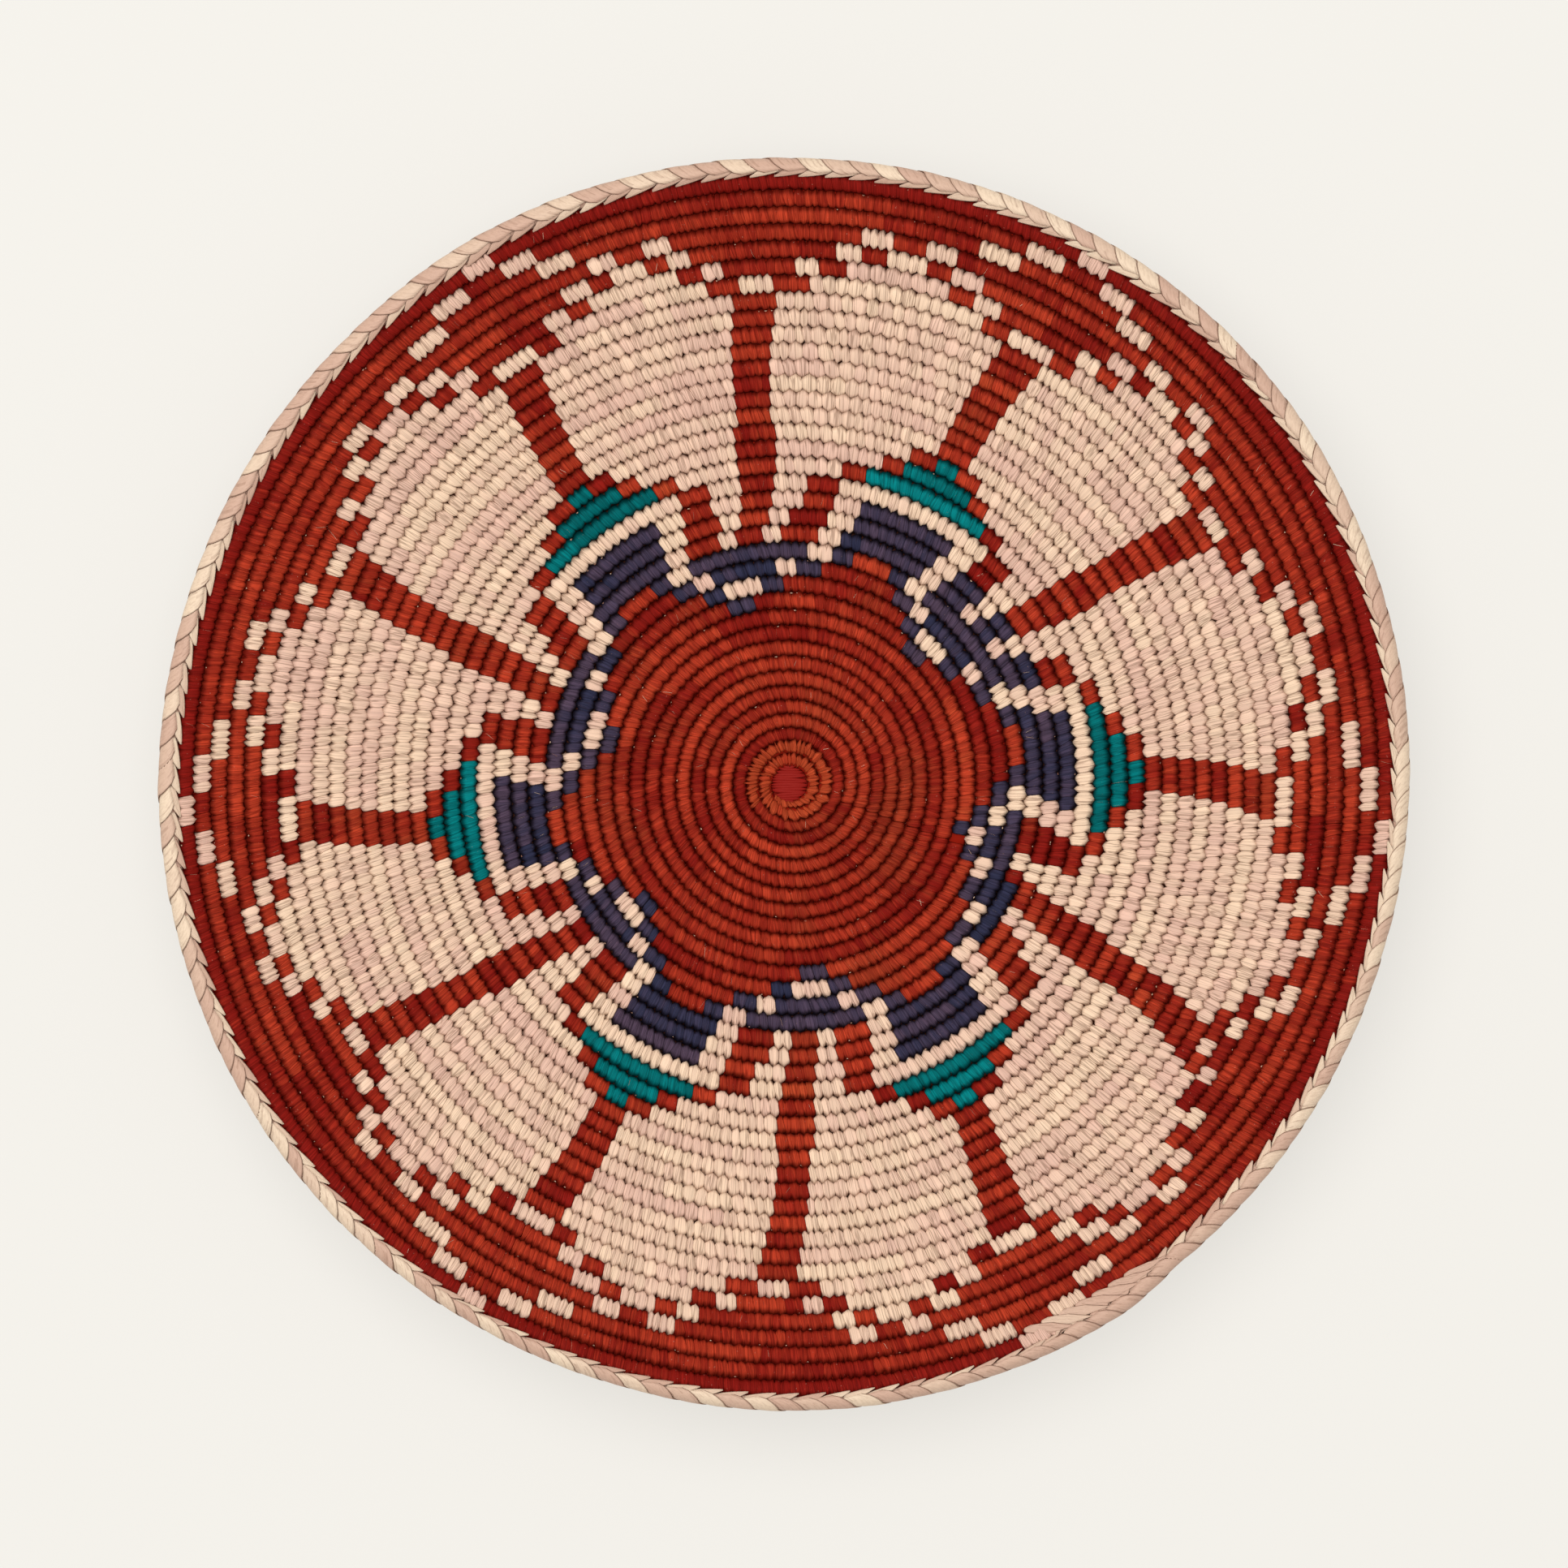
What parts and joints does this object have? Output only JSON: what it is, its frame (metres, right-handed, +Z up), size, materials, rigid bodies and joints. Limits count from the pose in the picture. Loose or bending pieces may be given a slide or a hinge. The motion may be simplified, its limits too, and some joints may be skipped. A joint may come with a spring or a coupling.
{
  "type": "coiled tray basket",
  "caption": "Shallow round basket coiled from leaf-wrapped grass, with a red rosette, spoked figures on a pale ground, a red border and a plaited rim.",
  "frame": {"origin": "middle of the outline, on the surface that the base rests on", "axes": "+Z up out of the bowl, +Y towards the top of the basket as it hangs in the picture, +X to its right"},
  "size_m": [0.4112, 0.4112, 0.0424],
  "materials": {
    "red_leaf": "dyed leaf, soft sheen",
    "maroon_leaf": "dyed leaf, soft sheen",
    "navy_leaf": "dyed leaf, soft sheen",
    "teal_leaf": "dyed leaf, soft sheen",
    "cream_leaf": "undyed leaf, soft sheen",
    "plain_leaf": "undyed leaf, soft sheen"
  },
  "bodies": {
    "root": {"start_knot": "red_leaf", "red_rosette": "red_leaf", "navy_block_1": "navy_leaf", "navy_arch_1": "navy_leaf", "cream_ribbon_1": "cream_leaf", "teal_gable_1": "teal_leaf", "red_gable_1": "red_leaf", "red_spoke_1": "red_leaf", "cream_field_1_right": "cream_leaf", "cream_field_1_left": "cream_leaf", "red_border_1": "maroon_leaf", "navy_block_2": "navy_leaf", "navy_arch_2": "navy_leaf", "cream_ribbon_2": "cream_leaf", "teal_gable_2": "teal_leaf", "red_gable_2": "red_leaf", "red_spoke_2": "red_leaf", "cream_field_2_right": "cream_leaf", "cream_field_2_left": "cream_leaf", "red_border_2": "maroon_leaf", "navy_block_3": "navy_leaf", "navy_arch_3": "navy_leaf", "cream_ribbon_3": "cream_leaf", "teal_gable_3": "teal_leaf", "red_gable_3": "red_leaf", "red_spoke_3": "red_leaf", "cream_field_3_right": "cream_leaf", "cream_field_3_left": "cream_leaf", "red_border_3": "maroon_leaf", "navy_block_4": "navy_leaf", "navy_arch_4": "navy_leaf", "cream_ribbon_4": "cream_leaf", "teal_gable_4": "teal_leaf", "red_gable_4": "red_leaf", "red_spoke_4": "red_leaf", "cream_field_4_right": "cream_leaf", "cream_field_4_left": "cream_leaf", "red_border_4": "maroon_leaf", "navy_block_5": "navy_leaf", "navy_arch_5": "navy_leaf", "cream_ribbon_5": "cream_leaf", "teal_gable_5": "teal_leaf", "red_gable_5": "red_leaf", "red_spoke_5": "red_leaf", "cream_field_5_right": "cream_leaf", "cream_field_5_left": "cream_leaf", "red_border_5": "maroon_leaf", "navy_block_6": "navy_leaf", "navy_arch_6": "navy_leaf", "cream_ribbon_6": "cream_leaf", "teal_gable_6": "teal_leaf", "red_gable_6": "red_leaf", "red_spoke_6": "red_leaf", "cream_field_6_right": "cream_leaf", "cream_field_6_left": "cream_leaf", "red_border_6": "maroon_leaf", "rim_braid": "plain_leaf"}
  },
  "joints": []
}
